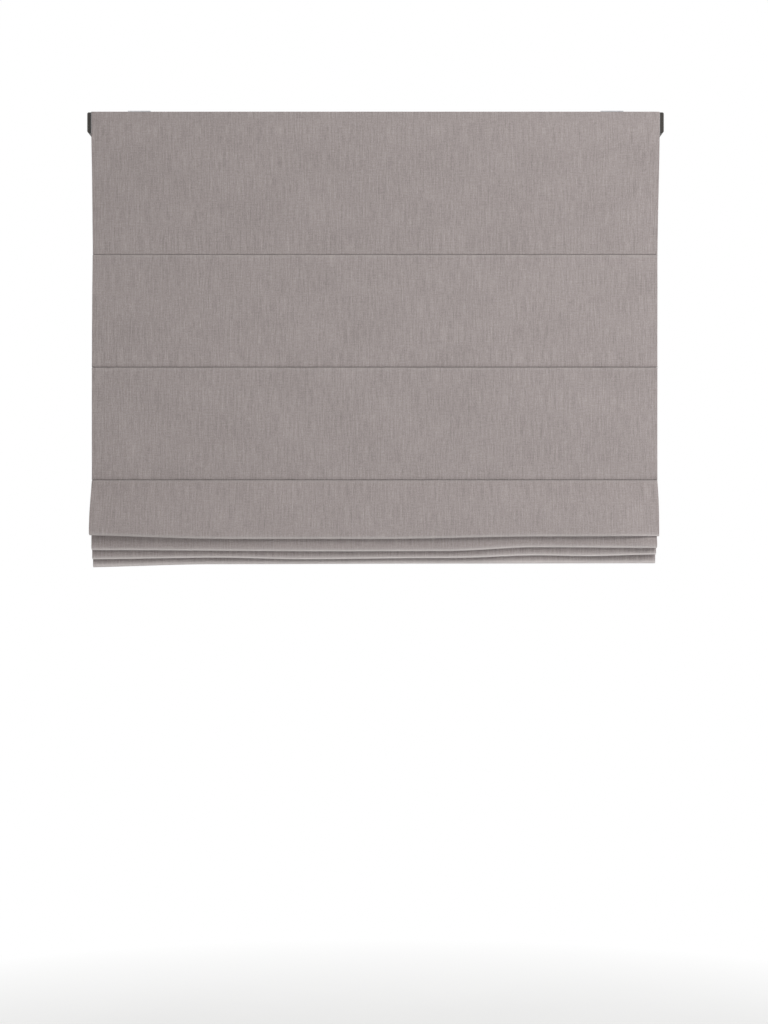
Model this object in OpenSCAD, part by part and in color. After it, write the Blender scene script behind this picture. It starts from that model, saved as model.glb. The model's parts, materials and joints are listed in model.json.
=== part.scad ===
// Cordless roman blind, half raised. One sheet of cloth hangs from an aluminium headrail, six rods
// lie in tucks across its back, and three lift cords run up through rings on the rods to spools on
// a sprung shaft. The three lowest panels are gathered into folds above the hem.
// +Z is up, the front faces -Y, and the origin is the centre of the fixing holes on the brackets' top.

/* [Cloth] */
// Width of the cloth
cloth_w = 900; // [700:1:1600]
// Thickness of the cloth
cloth_t = 1; // [0.7:0.05:1.2]
// Gap between two layers that are sewn together
layer_gap = 0.2; // [0.1:0.05:0.4]
// Drop from the cloth's top edge to the first rod
top_panel = 223; // [200:1:320]
// Cloth from one rod to the next
rib_pitch = 180; // [160:1:260]
// Cloth from the last rod to the hem's lower edge
hem_panel = 91; // [80:1:130]
// Distance from rod to rod where the cloth is gathered
gather_pitch = 14; // [13:0.5:20]
// Length of the top edge that is turned to the back
top_hem = 28; // [24:1:30]
// Radius of the small turn where the cloth goes into a tuck
lip_r = 1; // [0.8:0.1:1.6]
// How far the first, second and third gathered fold hang in front of the rods
fold_reach = [20, 10.5, 3]; // [2:0.5:40]
// Radius of the first, second and third fold's lower edge
fold_r = [3.5, 3, 2.5]; // [2:0.1:6]
// How far a layer leans forward to pass the rod below
fold_lean = 6; // [5:0.5:8]
// Drop over which that layer leans forward
lean_drop = 12; // [9:0.5:13]
// Length of cloth that hangs straight below the headrail before it turns back to the rods
straight_drop = 28; // [10:1:40]
// How far the hem hangs behind the rods' cloth
hem_back = 3; // [3:0.5:6]

/* [Rods and rings] */
// Diameter of a rod
rod_d = 4; // [3:0.5:5]
// Wall of a rod's end tip
tip_wall = 0.5; // [0.4:0.1:1]
// Length of a tip that covers the rod
tip_cover = 8; // [5:0.5:14]
// Length of a tip past the rod's end
tip_nose = 2; // [1.5:0.25:4]
// How far a tip shows past the cloth's side edge
tip_past = 1.5; // [0.5:0.25:3]
// Play between a tip and its tuck
tuck_play = 0.3; // [0.2:0.05:0.6]
// Distance from the stitch line to the rod's centre
stitch_to_rod = 4.2; // [4:0.1:7]
// Radius of a ring, to the middle of its wire
ring_r = 4; // [3.5:0.25:6]
// Diameter of a ring's wire
ring_wire = 2; // [1.2:0.1:2.4]
// Gap between a ring and the tuck that it is sewn to
ring_gap = 0.3; // [0.2:0.05:0.4]
// Width of the bottom bar
bar_h = 20; // [15:1:25]
// Thickness of the bottom bar
bar_t = 3; // [2:0.25:4]
// Distance from the bar's end to the cloth's side edge
bar_inset = 5; // [4:0.5:20]
// Length of the bar's end cap
bar_cap = 3; // [2:0.5:4]
// Play round the bar in its pocket
bar_play = 0.3; // [0.2:0.05:0.6]
// Cloth from the bar's top to the pocket's stitch line
pocket_top = 6; // [4:0.5:10]

/* [Lift] */
// Distance of an outer lift cord from the cloth's side edge
lift_inset = 130; // [100:1:200]
// Distance between the two outer lift cords
lift_spacing = cloth_w - 2 * lift_inset;
// Diameter of a lift cord
cord_d = 1.4; // [1:0.1:1.6]
// Radius of the bead that stops a cord under the last ring
stop_r = 4.5; // [4:0.25:6]
// Height of that bead
stop_h = 7; // [6:0.25:8]
// Width of the lift shaft across its six flats
shaft_af = 6; // [5:0.5:7]
// Radius of a spool's barrel
spool_r = 8.5; // [7:0.25:8.75]
// Radius of a spool's flanges
flange_r = 11; // [10.75:0.25:14]
// Thickness of a spool's flanges
flange_t = 1.5; // [1:0.25:2.5]
// Width of the barrel between the flanges
barrel_w = 27; // [26:0.5:40]
// Radius of a spool's bearing neck
neck_r = 5; // [4.75:0.25:6.5]
// Running clearance of necks and shaft in their bores
run_gap = 0.1; // [0.05:0.01:0.15]
// Turns of cord on a spool
turns = 9; // [6:1:9]
// Gap between a spool and the plate under it
spool_gap = 0.6; // [0.4:0.1:1.5]
// Gap between a spool and the headrail's back wall
spool_back_gap = 2.5; // [1.5:0.25:5]
// Gap between a spool's flange and the cheek beside it
cheek_gap = 0.5; // [0.3:0.1:1]
// Thickness of a cradle's cheeks
cheek_t = 2.5; // [2:0.25:4]
// Width of a cheek where it stands on its plate
cheek_foot = 28; // [20:1:32]
// Thickness of the plates that lie on the headrail's lips
base_t = 1.5; // [1.2:0.1:2.5]
// Wall of the eyelet that a cord leaves by
eyelet_wall = 0.7; // [0.5:0.05:0.8]
// Length of the eyelet below its plate
eyelet_h = 3.5; // [2:0.25:5]
// Play of a cord in its eyelet
eyelet_play = 0.4; // [0.3:0.05:0.5]
// Distance of the spring motor from the middle, halfway between two spools
motor_x = lift_spacing / 4;
// Distance of the brake from the middle, halfway between two spools
brake_x = lift_spacing / 4;
// Length of the spring motor
motor_l = 96; // [80:1:110]
// Length of the brake
brake_l = 34; // [26:1:50]

/* [Headrail] */
// Depth of the headrail, front to back
rail_d = 40; // [38:0.5:60]
// Wall of the headrail
rail_wall = 1.5; // [1.2:0.1:2]
// Length of the headrail past each side of the cloth
rail_past = 1; // [0:0.5:3]
// Width of the upper lips, which the brackets hook under
top_lip = 4; // [3:0.25:5]
// Height of the slot under the upper lips
hook_slot = 2.7; // [2.4:0.1:4]
// Width of the lower lips, which carry the mechanism
low_lip = 2; // [1.5:0.1:2.2]
// Room above the spools
rail_headroom = 1.7; // [1:0.1:6]
// Outer radius of the screw ports that run along the headrail
port_r = 2.6; // [2.3:0.1:2.8]
// How far a port is sunk in the walls beside it
port_sunk = 0.4; // [0.2:0.1:0.8]
// Thickness of an end cap
cap_t = 6; // [4.5:0.25:10]
// Corner radius of an end cap
cap_r = 2; // [1:0.25:4]
// Radius of an end cap's upper and lower outer edge
cap_edge = 3; // [1:0.25:4]
// How far an end cap's boss and tongues reach into the headrail
cap_reach = 12; // [8:1:30]
// Wall of an end cap's boss and tongues
cap_wall = 2.5; // [2:0.25:4]
// Diameter of the cap screws
screw_d = 2.9; // [2.5:0.1:3.2]
// Diameter of a screw's head
screw_head_d = 5; // [4.5:0.25:6]
// Height of a screw's head
screw_head_h = 1.8; // [1.2:0.1:3]
// How far a screw's head lies below the end cap's face
head_sunk = 0.2; // [0:0.1:0.6]
// Length of the cross in a screw's head
cross_l = 3.2; // [2.5:0.1:4.5]
// Width of the cross in a screw's head
cross_w = 0.9; // [0.6:0.1:1.2]
// Length of a screw below its head
screw_l = 13; // [9:0.5:20]
// Height of the touch-fastening tapes
tape_h = 20; // [15:1:22]
// Thickness of each tape
tape_t = 1; // [0.6:0.1:1.6]
// Distance from the cloth's side edge to a tape's end
tape_inset = 3; // [1:0.5:10]

/* [Brackets] */
// Distance of a bracket's middle from the headrail's end
bracket_inset = 76; // [60:1:160]
// Distance from bracket to bracket
bracket_spacing = cloth_w + 2 * rail_past - 2 * bracket_inset;
// Width of a bracket
bracket_w = 36; // [25:1:60]
// Thickness of a bracket's plate
plate_t = 2; // [1.5:0.1:2.5]
// Thickness of a bracket's hooks
hook_t = 1.5; // [1.2:0.1:1.8]
// Gap between a bracket and the headrail
hook_gap = 0.3; // [0.2:0.05:0.4]
// Distance between a bracket's two holes
hole_spacing = 18; // [12:0.5:20]
// Diameter of a fixing hole
hole_d = 4.5; // [3.5:0.1:5]
// Length of the release tab behind the headrail
tab_l = 7; // [4:0.5:12]
// Width of the release tab
tab_w = 16; // [10:1:24]

/* [Hidden] */
$fn = 64;

cloth_color = [0.62, 0.58, 0.57];
metal_color = [0.72, 0.72, 0.73];
steel_color = [0.55, 0.56, 0.58];
dark_color = [0.16, 0.14, 0.13];
white_color = [0.93, 0.93, 0.91];
grey_color = [0.42, 0.42, 0.43];

// Heights inside the headrail, from its top down
rail_top = -plate_t - hook_gap;
web_top = rail_top - rail_wall - hook_slot;
web_low = web_top - rail_wall;
shaft_z = web_low - rail_headroom - flange_r;
base_top = shaft_z - flange_r - spool_gap;
floor_z = base_top - base_t;
rail_low = floor_z - rail_wall;
inner_y = rail_d / 2 - rail_wall;
rail_end = cloth_w / 2 + rail_past;
lip_edge = inner_y - top_lip;

// The shaft lies near the back wall, and the cords drop from the back of the spools
shaft_y = inner_y - spool_back_gap - flange_r;
cord_r = cord_d / 2;
wind_r = spool_r + run_gap;
cord_y = shaft_y + wind_r + cord_r;
lift_x = [-lift_spacing / 2, 0, lift_spacing / 2];
shaft_r = shaft_af / 2 / cos(30);
eyelet_bore = cord_r + eyelet_play;
port_y = inner_y - port_r + port_sunk;
port_z = web_low - port_r + port_sunk;
under_head = rail_end + cap_t - head_sunk - screw_head_h;

// The tuck round a rod, and the cloth's plane in front of it
tip_r = rod_d / 2 + tip_wall;
tuck_r = tip_r + tuck_play;
loop_r = tuck_r + cloth_t / 2;
half_seam = (cloth_t + layer_gap) / 2;
rod_y = cord_y - ring_r - ring_wire / 2 - ring_gap - tuck_r - cloth_t;
rib_y = rod_y - stitch_to_rod - lip_r;
over_r = lip_r + 2 * half_seam;
tuck_lift = asin(loop_r / norm([stitch_to_rod, half_seam])) - atan2(half_seam, stitch_to_rod);

// The cloth on the headrail: tapes, turned edge, front layer
loop_tape_y = -rail_d / 2 - 2 * tape_t;
turned_y = loop_tape_y - cloth_t / 2;
front_y = turned_y - 2 * half_seam;
tape_z = rail_top - rail_h() / 2;

// Rods 1 to 3 hang a full panel apart, and rods 4 to 6 are gathered
hung = 3;
rods = 6;
function rail_h() = rail_top - rail_low;
function rod_z(k) = rail_top - top_panel
    - rib_pitch * (min(k, hung) - 1) - gather_pitch * max(k - hung, 0);
hem_z = rod_z(rods) - hem_panel;
hem_r = (bar_t + cloth_t) / 2 + bar_play;
hem_y = rib_y + hem_back;
bar_y = hem_y + hem_r;
bar_z = hem_z + cloth_t + bar_play + bar_t / 2;

arc_steps = 14;
lip_steps = 3;
run_steps = 8;
fold_steps = 10;

// Point lists in the Y-Z plane
function arc(c, r, from, to, steps) =
    [for (i = [0:steps]) let (a = from + (to - from) * i / steps) c + r * [cos(a), sin(a)]];
function curve(a, b, c, d) =
    [for (i = [0:run_steps]) let (u = i / run_steps, v = 1 - u)
        v * v * v * a + 3 * v * v * u * b + 3 * v * u * u * c + u * u * u * d];
function tail(p) = [for (i = [1:len(p) - 1]) p[i]];
function reversed(p) = [for (i = [len(p) - 1:-1:0]) p[i]];
function path_length(p, i = 1) = i >= len(p) ? 0 : norm(p[i] - p[i - 1]) + path_length(p, i + 1);

// A tuck: in above the stitch line, round the rod and out below it
function tuck(k) = let (z = rod_z(k)) concat(
    arc([rod_y, z], loop_r, 90 + tuck_lift, -90 - tuck_lift, arc_steps),
    arc([rib_y + lip_r, z - half_seam - lip_r], lip_r, 90, 180, lip_steps));
// The cloth goes in from above at a hung rod, and from below, over the outgoing layer, at a gathered one
function into_hung(k) =
    arc([rib_y + lip_r, rod_z(k) + half_seam + lip_r], lip_r, 180, 270, lip_steps);
function into_gathered(k) =
    arc([rib_y + lip_r, rod_z(k) + half_seam - over_r], over_r, 180, 90, lip_steps);
function out_point(k) = [rib_y, rod_z(k) - half_seam - lip_r];
function in_point(k) = [rib_y + lip_r - over_r, rod_z(k) + half_seam - over_r];

// A layer from a rod down to a fold's edge: it leans forward if a gathered rod lies below
function layer(from, to, lean) =
    curve(from, from - [lean, lean_drop], to + [0, (from[1] - to[1]) / 2], to);
// Fold f hangs from rod f + 2, turns up at the height given and rises to the next rod
function fold(f, low) =
    let (
        k = f + hung,
        c = [rib_y - fold_reach[f], low + fold_r[f] + cloth_t / 2],
        side = [fold_r[f], 0],
        back_lean = k + 1 < rods ? fold_lean : 0)
    concat(
        tail(layer(out_point(k), c - side, fold_lean)),
        tail(arc(c, fold_r[f], 180, 360, fold_steps)),
        tail(reversed(layer(in_point(k + 1), c + side, back_lean))));
// The height at which a fold uses up its whole panel, found by halving the interval
function fold_length(f, low) = path_length(concat([out_point(f + hung)], fold(f, low)));
fold_cut = rib_pitch - PI / 2 * (lip_r + over_r);
function fold_low(f, a, b, tries = 24) =
    let (m = (a + b) / 2)
    tries == 0 ? m
    : fold_length(f, m) > fold_cut ? fold_low(f, m, b, tries - 1) : fold_low(f, a, m, tries - 1);
function fold_floor(f) =
    fold_low(f, rod_z(f + hung) - rib_pitch, rod_z(f + hung + 1) - 2 * fold_r[f] - lean_drop);

// The parts of the cloth's path, from the turned top edge to the end of the bar's pocket
fold_over = arc([turned_y - half_seam, rail_top - cloth_t / 2 - half_seam], half_seam, 0, 180, 6);
tape_low = [front_y, rail_low];
first_rod = into_hung(1)[0];
top_run = curve(tape_low, tape_low - [0, straight_drop], first_rod - (first_rod - tape_low) / 3, first_rod);
top_part = concat([[turned_y, rail_top - top_hem]], fold_over, top_run, tail(into_hung(1)), tuck(1));
hung_part = [for (k = [2:hung]) each concat(into_hung(k), tuck(k))];
fold_part = [for (f = [0:rods - hung - 1])
    each concat(fold(f, fold_floor(f)), tail(into_gathered(f + hung + 1)), tuck(f + hung + 1))];
hem_turn = [bar_y, hem_z + cloth_t / 2 + hem_r];
pocket_z = bar_z - bar_t / 2 + bar_h;
hem_part = concat(
    tail(layer(out_point(rods), [hem_y, pocket_z + pocket_top], 0)),
    arc(hem_turn, hem_r, 180, 360, fold_steps),
    [[hem_y + 2 * hem_r, pocket_z], [hem_y + 2 * half_seam, pocket_z + pocket_top]]);
cloth_path = concat(top_part, hung_part, fold_part, hem_part);

// The outline of a strip of the given thickness along a path
function side_at(p, i) =
    let (d = p[min(i + 1, len(p) - 1)] - p[max(i - 1, 0)]) [-d[1], d[0]] / norm(d);
function strip(p, t) = concat(
    [for (i = [0:len(p) - 1]) p[i] + side_at(p, i) * t / 2],
    [for (i = [len(p) - 1:-1:0]) p[i] - side_at(p, i) * t / 2]);

// A Y-Z profile drawn out along X
module along_x(from, length) {
    translate([from, 0, 0]) rotate([90, 0, 90]) linear_extrude(length) children();
}
// A round bar along X
module bar_x(from, length, y, z, r) {
    translate([from, y, z]) rotate([0, 90, 0]) cylinder(h = length, r = r);
}
module hex_x(from, length, r) {
    translate([from, shaft_y, shaft_z]) rotate([0, 90, 0]) cylinder(h = length, r = r, $fn = 6);
}
module round_square(w, h, r) {
    square([w - 2 * r, h], center = true);
    square([w, h - 2 * r], center = true);
    for (x = [-1, 1], y = [-1, 1]) translate([x * (w / 2 - r), y * (h / 2 - r)]) circle(r);
}

module rail_side() {
    translate([inner_y, rail_low]) square([rail_wall, rail_h()]);
    translate([lip_edge, rail_top - rail_wall]) square([top_lip + rail_wall, rail_wall]);
    translate([inner_y - low_lip, rail_low]) square([low_lip + rail_wall, rail_wall]);
    translate([port_y, port_z]) circle(port_r);
}
module headrail() {
    color(metal_color) along_x(-rail_end, 2 * rail_end) difference() {
        union() {
            rail_side();
            mirror([1, 0]) rail_side();
            translate([-rail_d / 2, web_low]) square([rail_d, rail_wall]);
        }
        for (s = [-1, 1]) translate([s * port_y, port_z]) circle(screw_d / 2 + run_gap);
    }
}

// An end cap's plate, with its upper and lower outer edges rounded
module cap_plate() {
    middle = (rail_top + rail_low) / 2;
    intersection() {
        along_x(rail_end, cap_t) translate([0, middle]) round_square(rail_d, rail_h(), cap_r);
        translate([rail_end, 0, middle]) rotate([90, 0, 0]) linear_extrude(rail_d, center = true)
            round_square(2 * cap_t, rail_h(), cap_edge);
    }
}
// An end cap at the right end: plate, shaft bearing, and tongues inside the headrail's walls
module end_cap() {
    tongue_z = floor_z + cap_wall;
    tongue_h = port_z - port_r - cap_wall - tongue_z;
    color(dark_color) difference() {
        union() {
            cap_plate();
            bar_x(rail_end - cap_reach, cap_reach, shaft_y, shaft_z, shaft_r + cap_wall);
            for (s = [-1, 1])
                along_x(rail_end - cap_reach, cap_reach)
                    translate([s * (inner_y - hook_gap - cap_wall / 2), tongue_z + tongue_h / 2])
                        square([cap_wall, tongue_h], center = true);
        }
        bar_x(rail_end - cap_reach, cap_reach, shaft_y, shaft_z, shaft_r + run_gap);
        for (s = [-1, 1]) {
            bar_x(rail_end, cap_t, s * port_y, port_z, screw_d / 2 + run_gap);
            bar_x(under_head, cap_t, s * port_y, port_z, screw_head_d / 2 + run_gap);
        }
    }
}
module end_cap_left() { mirror([1, 0, 0]) end_cap(); }
module end_cap_right() { end_cap(); }

module cap_screw(y) {
    bar_x(under_head - screw_l, screw_l, y, port_z, screw_d / 2);
    difference() {
        bar_x(under_head, screw_head_h, y, port_z, screw_head_d / 2);
        for (turn = [0, 90])
            translate([under_head + screw_head_h, y, port_z]) rotate([turn, 0, 0])
                cube([screw_head_h, cross_l, cross_w], center = true);
    }
}
module cap_screws() {
    color(steel_color) for (side = [0, 1], s = [-1, 1]) mirror([side, 0, 0]) cap_screw(s * port_y);
}

// A snap bracket: a plate with two hooks under the upper lips and a release tab behind
module bracket(x) {
    foot_top = rail_top - rail_wall - hook_gap;
    leg_y = lip_edge - hook_gap - hook_t;
    plate_y = rail_d / 2 - rail_wall / 2;
    foot_y = inner_y - hook_gap;
    color(steel_color) difference() {
        union() {
            along_x(x - bracket_w / 2, bracket_w) {
                translate([-plate_y, -plate_t]) square([2 * plate_y, plate_t]);
                for (s = [0, 1]) mirror([s, 0]) {
                    translate([leg_y, foot_top - hook_t]) square([hook_t, -foot_top + hook_t - plate_t / 2]);
                    translate([leg_y, foot_top - hook_t]) square([foot_y - leg_y, hook_t]);
                }
            }
            along_x(x - tab_w / 2, tab_w)
                translate([plate_y - plate_t, -plate_t]) square([rail_wall + plate_t + tab_l, plate_t]);
            along_x(x - tab_w / 2, tab_w)
                translate([plate_y + rail_wall + tab_l - plate_t, -tab_l]) square([plate_t, tab_l]);
        }
        for (s = [-1, 1])
            translate([x, s * hole_spacing / 2, -2 * plate_t]) cylinder(h = 3 * plate_t, d = hole_d);
    }
}
module bracket_left() { bracket(-bracket_spacing / 2); }
module bracket_right() { bracket(bracket_spacing / 2); }

module tape(y) {
    length = cloth_w - 2 * tape_inset;
    along_x(-length / 2, length) translate([y, tape_z - tape_h / 2]) square([tape_t, tape_h]);
}
module hook_tape() { color(grey_color) tape(-rail_d / 2 - tape_t); }
module loop_tape() { color(white_color) tape(loop_tape_y); }

module lift_shaft() {
    length = 2 * (rail_end - cheek_gap);
    color(steel_color) hex_x(-length / 2, length, shaft_r);
}
module spool(x) {
    neck_l = cheek_gap + cheek_t;
    outer_w = barrel_w + 2 * flange_t;
    color(white_color) difference() {
        union() {
            bar_x(x - outer_w / 2 - neck_l, outer_w + 2 * neck_l, shaft_y, shaft_z, neck_r);
            bar_x(x - barrel_w / 2 - flange_t, outer_w, shaft_y, shaft_z, spool_r);
            for (s = [-1, 1])
                bar_x(x + s * (barrel_w + flange_t) / 2 - flange_t / 2, flange_t, shaft_y, shaft_z, flange_r);
        }
        hex_x(x - outer_w, 2 * outer_w, shaft_r + run_gap);
    }
}
module spool_left() { spool(lift_x[0]); }
module spool_center() { spool(lift_x[1]); }
module spool_right() { spool(lift_x[2]); }

// Cord wound on the spools, as one ridged sleeve each, from the left flange to the leaving cord
module cord_windings() {
    ridges = [for (i = [0:turns - 1], a = [-60:30:60])
        [wind_r + cord_r + cord_r * cos(a), (i + 0.5) * cord_d + cord_r * sin(a)]];
    color(white_color) for (x = lift_x)
        translate([x - cord_r - run_gap - turns * cord_d, shaft_y, shaft_z]) rotate([0, 90, 0])
            rotate_extrude() polygon(concat([[wind_r, 0]], ridges, [[wind_r, turns * cord_d]]));
}

// The plate that a cradle, the motor and the brake have on the headrail's lower lips
module base_plate(x, length) {
    along_x(x - length / 2, length)
        translate([-inner_y + hook_gap, floor_z]) square([2 * (inner_y - hook_gap), base_t]);
    for (s = [-1, 1])
        along_x(x - length / 4, length / 2)
            translate([s * (inner_y - low_lip - hook_gap - base_t / 2), floor_z + base_t / 2 - rail_wall / 2])
                square([base_t, rail_wall + base_t], center = true);
}
module cheek() {
    foot = cheek_foot / 2;
    bearing = neck_r + cheek_t;
    difference() {
        union() {
            polygon([
                [-foot, base_top - base_t / 2], [foot, base_top - base_t / 2],
                [shaft_y + bearing, shaft_z], [shaft_y - bearing, shaft_z]]);
            translate([shaft_y, shaft_z]) circle(bearing);
        }
        translate([shaft_y, shaft_z]) circle(neck_r + run_gap);
    }
}
module cradle(x) {
    inside = barrel_w + 2 * flange_t + 2 * cheek_gap;
    eyelet_r = eyelet_bore + eyelet_wall;
    color(white_color) difference() {
        union() {
            base_plate(x, inside + 4 * cheek_t);
            for (from = [x - inside / 2 - cheek_t, x + inside / 2]) along_x(from, cheek_t) cheek();
            translate([x, cord_y, floor_z - eyelet_h]) cylinder(h = eyelet_h + base_t / 2, r = eyelet_r);
        }
        translate([x, cord_y, floor_z - 2 * eyelet_h])
            cylinder(h = 2 * eyelet_h + 2 * base_t, r = eyelet_bore);
    }
}
module cradle_left() { cradle(lift_x[0]); }
module cradle_center() { cradle(lift_x[1]); }
module cradle_right() { cradle(lift_x[2]); }

// The spring motor: a closed case round the shaft, with end rings and stiffening ribs
module spring_motor() {
    case_half = port_y - port_r - hook_gap;
    case_top = web_low - rail_headroom / 2;
    rib_count = 5;
    ring_l = cheek_t;
    color(grey_color) difference() {
        union() {
            base_plate(motor_x, motor_l);
            along_x(motor_x - motor_l / 2 + ring_l, motor_l - 2 * ring_l)
                translate([0, (case_top + floor_z) / 2])
                    round_square(2 * (case_half - cheek_gap), case_top - floor_z - cheek_gap, cap_r);
            for (i = [0:rib_count - 1])
                along_x(motor_x - motor_l / 2 + ring_l + (motor_l - 3 * ring_l) * i / (rib_count - 1), ring_l)
                    translate([0, (case_top + floor_z) / 2])
                        round_square(2 * case_half, case_top - floor_z, cap_r);
            bar_x(motor_x - motor_l / 2, motor_l, shaft_y, shaft_z, shaft_r + cap_wall);
        }
        bar_x(motor_x - motor_l, 2 * motor_l, shaft_y, shaft_z, shaft_r + run_gap);
    }
}
// The brake: a drum case on a saddle
module brake() {
    drum_r = flange_r - cheek_gap;
    color(grey_color) difference() {
        union() {
            base_plate(-brake_x, brake_l);
            bar_x(-brake_x - brake_l / 2, brake_l, shaft_y, shaft_z, shaft_r + cap_wall);
            bar_x(-brake_x - brake_l / 2 + cheek_t, brake_l - 2 * cheek_t, shaft_y, shaft_z, drum_r);
            along_x(-brake_x - brake_l / 2 + cheek_t, brake_l - 2 * cheek_t)
                translate([shaft_y - drum_r, floor_z]) square([2 * drum_r, shaft_z - floor_z]);
        }
        bar_x(-brake_x - brake_l, 2 * brake_l, shaft_y, shaft_z, shaft_r + run_gap);
    }
}

// A lift cord, from its spool down through the rings to its bead
stop_z = rod_z(rods) - ring_wire / 2 - ring_gap;
module lift_cord(x) {
    color(white_color) translate([x, cord_y, stop_z]) cylinder(h = shaft_z - stop_z, r = cord_r);
}
module lift_cord_left() { lift_cord(lift_x[0]); }
module lift_cord_center() { lift_cord(lift_x[1]); }
module lift_cord_right() { lift_cord(lift_x[2]); }

module fabric() {
    color(cloth_color) along_x(-cloth_w / 2, cloth_w) polygon(strip(cloth_path, cloth_t));
}

rod_end = cloth_w / 2 + tip_past - tip_nose;
module rod(k) {
    color(white_color) bar_x(-rod_end, 2 * rod_end, rod_y, rod_z(k), rod_d / 2);
}
module rod_tips(k) {
    color(white_color) for (side = [0, 1]) mirror([side, 0, 0]) difference() {
        union() {
            bar_x(rod_end - tip_cover, tip_cover + tip_nose / 2, rod_y, rod_z(k), tip_r);
            translate([rod_end + tip_nose / 2, rod_y, rod_z(k)]) rotate([0, 90, 0])
                cylinder(h = tip_nose / 2, r1 = tip_r, r2 = tip_r - tip_nose / 2);
        }
        bar_x(rod_end - 2 * tip_cover, 2 * tip_cover, rod_y, rod_z(k), rod_d / 2);
    }
}
module rings(k) {
    color(white_color) for (x = lift_x)
        translate([x, cord_y, rod_z(k)]) rotate_extrude() translate([ring_r, 0]) circle(d = ring_wire);
}
// Beads with a flat top and bottom
module cord_stops() {
    color(white_color) for (x = lift_x) translate([x, cord_y, stop_z - stop_h / 2]) intersection() {
        sphere(stop_r);
        cylinder(h = stop_h, r = 2 * stop_r, center = true);
    }
}

bar_end = cloth_w / 2 - bar_inset;
module bar_profile() {
    translate([bar_y - bar_t / 2, bar_z]) square([bar_t, bar_h - bar_t]);
    for (z = [bar_z, bar_z + bar_h - bar_t]) translate([bar_y, z]) circle(d = bar_t);
}
module bottom_bar() {
    length = 2 * (bar_end - bar_cap);
    color(metal_color) along_x(-length / 2, length) bar_profile();
}
module bar_caps() {
    color(white_color) for (side = [0, 1]) mirror([side, 0, 0]) along_x(bar_end - bar_cap, bar_cap) bar_profile();
}

headrail();
end_cap_left();
end_cap_right();
cap_screws();
bracket_left();
bracket_right();
hook_tape();
loop_tape();
lift_shaft();
spool_left();
spool_center();
spool_right();
cord_windings();
cradle_left();
cradle_center();
cradle_right();
spring_motor();
brake();
lift_cord_left();
lift_cord_center();
lift_cord_right();
fabric();
rod(1);  // rod_1
rod(2);  // rod_2
rod(3);  // rod_3
rod(4);  // rod_4
rod(5);  // rod_5
rod(6);  // rod_6
rod_tips(1);  // rod_tips_1
rod_tips(2);  // rod_tips_2
rod_tips(3);  // rod_tips_3
rod_tips(4);  // rod_tips_4
rod_tips(5);  // rod_tips_5
rod_tips(6);  // rod_tips_6
rings(1);  // rings_1
rings(2);  // rings_2
rings(3);  // rings_3
rings(4);  // rings_4
rings(5);  // rings_5
rings(6);  // rings_6
cord_stops();
bottom_bar();
bar_caps();
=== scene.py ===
# %% [markdown]
# # A roman blind, half raised
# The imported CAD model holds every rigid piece: headrail, brackets, spools, rods, rings and bar. This
# lesson dresses it. The cloth, its stitches, the ring threads and the lift cords are made here, because
# they are soft, and each rigid piece gets a finish. All lengths are in metres, +Z is up and the front
# faces -Y, as in the CAD model, so a piece goes where the frame says, with no fitting.

# %% Load the frame
import json
import math

import bpy
import numpy as np
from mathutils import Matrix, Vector


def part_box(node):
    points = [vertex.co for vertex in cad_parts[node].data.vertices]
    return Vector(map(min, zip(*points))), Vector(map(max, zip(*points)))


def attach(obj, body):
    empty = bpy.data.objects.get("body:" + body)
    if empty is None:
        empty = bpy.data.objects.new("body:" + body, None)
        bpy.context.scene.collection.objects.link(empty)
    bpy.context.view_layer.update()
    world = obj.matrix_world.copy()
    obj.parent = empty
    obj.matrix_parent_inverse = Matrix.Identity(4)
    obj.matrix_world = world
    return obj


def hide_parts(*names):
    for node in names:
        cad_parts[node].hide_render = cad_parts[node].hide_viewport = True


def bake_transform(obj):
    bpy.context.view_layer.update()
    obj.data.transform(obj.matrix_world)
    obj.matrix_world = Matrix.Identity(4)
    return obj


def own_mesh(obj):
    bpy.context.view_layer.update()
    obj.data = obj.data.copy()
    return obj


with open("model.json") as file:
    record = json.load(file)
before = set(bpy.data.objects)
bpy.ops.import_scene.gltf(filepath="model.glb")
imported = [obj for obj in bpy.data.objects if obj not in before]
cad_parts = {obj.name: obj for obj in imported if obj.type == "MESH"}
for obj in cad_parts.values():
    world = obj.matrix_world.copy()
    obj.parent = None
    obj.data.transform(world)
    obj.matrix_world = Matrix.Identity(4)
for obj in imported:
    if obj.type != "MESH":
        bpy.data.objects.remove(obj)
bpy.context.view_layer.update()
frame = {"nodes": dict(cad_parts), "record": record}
nodes = frame["nodes"]

# %% [markdown]
# ## Places
# A seamstress marks the cloth from the rods, and so does this script: the rods, the rail and the cords
# are read from the frame. What can't be read from a box, such as the radius of a fold, is written here
# with the value that the CAD model uses.

# %% Read the rods, rail and cords
MM = 0.001
ROD_COUNT = 6
HUNG = 3
SIDES = ("left", "center", "right")


def middle(node):
    low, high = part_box(node)
    return (low + high) / 2


rods = [middle(f"rod_{k}") for k in range(1, ROD_COUNT + 1)]
rod_y = rods[0].y
rod_z = [rod.z for rod in rods]
rail_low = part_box("headrail")[0].z
rail_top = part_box("headrail")[1].z
half_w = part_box("fabric")[1].x
hem_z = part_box("fabric")[0].z
cord_x = [middle(f"lift_cord_{side}").x for side in SIDES]
cord_y = middle("lift_cord_center").y
print("rods at", [round(z / MM, 1) for z in rod_z], "mm; cloth", round(2 * half_w / MM), "mm wide")

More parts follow.
